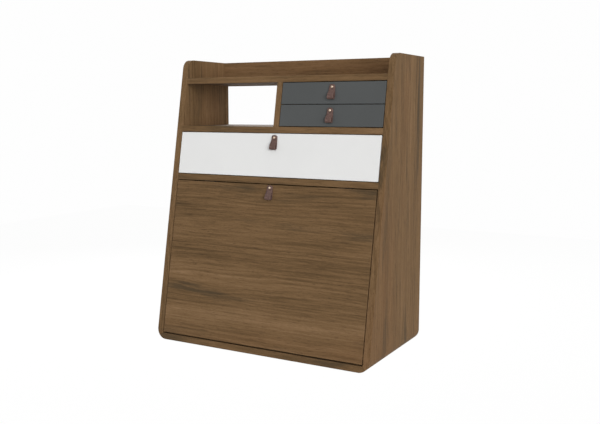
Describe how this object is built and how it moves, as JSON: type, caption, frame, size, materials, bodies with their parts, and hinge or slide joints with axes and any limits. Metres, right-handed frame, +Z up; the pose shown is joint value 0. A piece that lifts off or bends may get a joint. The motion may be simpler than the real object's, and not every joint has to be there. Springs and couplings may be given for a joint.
{
  "type": "fold down wall desk",
  "caption": "Wall desk in walnut with a sloping front: a fold down flap on stays, an open niche, a gallery top and drawers with folded leather pulls.",
  "frame": {"origin": "middle of the four wall fixing holes, in the plane of the wall", "axes": "+X to the right seen from the front, +Y into the wall, +Z up"},
  "size_m": [0.72, 0.377, 0.86],
  "materials": {
    "walnut": "oiled",
    "drawer_box": "sanded",
    "white_lacquer": "matt lacquer",
    "grey_lacquer": "matt lacquer",
    "leather": "natural",
    "brass": "satin",
    "steel": "satin nickel",
    "catch": "matt"
  },
  "bodies": {
    "carcass": {"side_panel_left": "walnut", "side_panel_right": "walnut", "bottom_panel": "walnut", "back_panel": "walnut", "lower_shelf": "walnut", "middle_shelf": "walnut", "top_shelf": "walnut", "niche_divider": "walnut", "carcass_tongues": "drawer_box", "pivot_bushes": "brass", "magnetic_catches": "catch", "stay_base_left": "steel", "stay_base_right": "steel", "large_drawer_runners": "drawer_box", "lower_drawer_runners": "drawer_box", "upper_drawer_runners": "drawer_box"},
    "flap": {"flap_panel": "walnut", "flap_pivots": "steel", "strike_plates": "steel", "stay_shoe_left": "steel", "stay_shoe_right": "steel", "stay_pins": "steel", "flap_pull": "leather", "flap_pull_screw": "brass"},
    "stay_rod_left": {"stay_rod_left": "steel", "stay_nut_left": "steel"},
    "stay_guide_left": {"stay_guide_left": "steel"},
    "stay_rod_right": {"stay_rod_right": "steel", "stay_nut_right": "steel"},
    "stay_guide_right": {"stay_guide_right": "steel"},
    "large_drawer": {"large_drawer_front": "white_lacquer", "large_drawer_side_left": "drawer_box", "large_drawer_side_right": "drawer_box", "large_drawer_back": "drawer_box", "large_drawer_bottom": "drawer_box", "large_drawer_stop_blocks": "drawer_box", "large_drawer_pull": "leather", "large_drawer_pull_screw": "brass"},
    "lower_drawer": {"lower_drawer_front": "grey_lacquer", "lower_drawer_side_left": "drawer_box", "lower_drawer_side_right": "drawer_box", "lower_drawer_back": "drawer_box", "lower_drawer_bottom": "drawer_box", "lower_drawer_stop_blocks": "drawer_box", "lower_drawer_pull": "leather", "lower_drawer_pull_screw": "brass"},
    "upper_drawer": {"upper_drawer_front": "grey_lacquer", "upper_drawer_side_left": "drawer_box", "upper_drawer_side_right": "drawer_box", "upper_drawer_back": "drawer_box", "upper_drawer_bottom": "drawer_box", "upper_drawer_stop_blocks": "drawer_box", "upper_drawer_pull": "leather", "upper_drawer_pull_screw": "brass"}
  },
  "joints": [
    {"name": "flap_hinge", "type": "hinge", "parent": "carcass", "child": "flap", "pos_m": [0, -0.35986, -0.21763], "axis": [1, 0, 0], "range_deg": [0, 100.6]},
    {"name": "stay_rod_left_pivot", "type": "hinge", "parent": "flap", "child": "stay_rod_left", "pos_m": [-0.328, -0.30987, -0.0657], "axis": [1, 0, 0], "range_deg": [-50.4, 0]},
    {"name": "stay_guide_left_swivel", "type": "hinge", "parent": "carcass", "child": "stay_guide_left", "pos_m": [-0.328, -0.2575, -0.09473], "axis": [1, 0, 0], "range_deg": [0, 50.4]},
    {"name": "stay_rod_right_pivot", "type": "hinge", "parent": "flap", "child": "stay_rod_right", "pos_m": [0.328, -0.30987, -0.0657], "axis": [1, 0, 0], "range_deg": [-50.4, 0]},
    {"name": "stay_guide_right_swivel", "type": "hinge", "parent": "carcass", "child": "stay_guide_right", "pos_m": [0.328, -0.2575, -0.09473], "axis": [1, 0, 0], "range_deg": [0, 50.4]},
    {"name": "large_drawer_slide", "type": "slide", "parent": "carcass", "child": "large_drawer", "axis": [0, -1, 0], "range_m": [0, 0.127]},
    {"name": "lower_drawer_slide", "type": "slide", "parent": "carcass", "child": "lower_drawer", "axis": [0, -1, 0], "range_m": [0, 0.108]},
    {"name": "upper_drawer_slide", "type": "slide", "parent": "carcass", "child": "upper_drawer", "axis": [0, -1, 0], "range_m": [0, 0.096]}
  ],
  "couplings": [
    {"joint": "stay_rod_left_pivot", "follows": "flap_hinge", "ratio": -0.5},
    {"joint": "stay_guide_left_swivel", "follows": "flap_hinge", "ratio": 0.5},
    {"joint": "stay_rod_right_pivot", "follows": "flap_hinge", "ratio": -0.5},
    {"joint": "stay_guide_right_swivel", "follows": "flap_hinge", "ratio": 0.5}
  ]
}
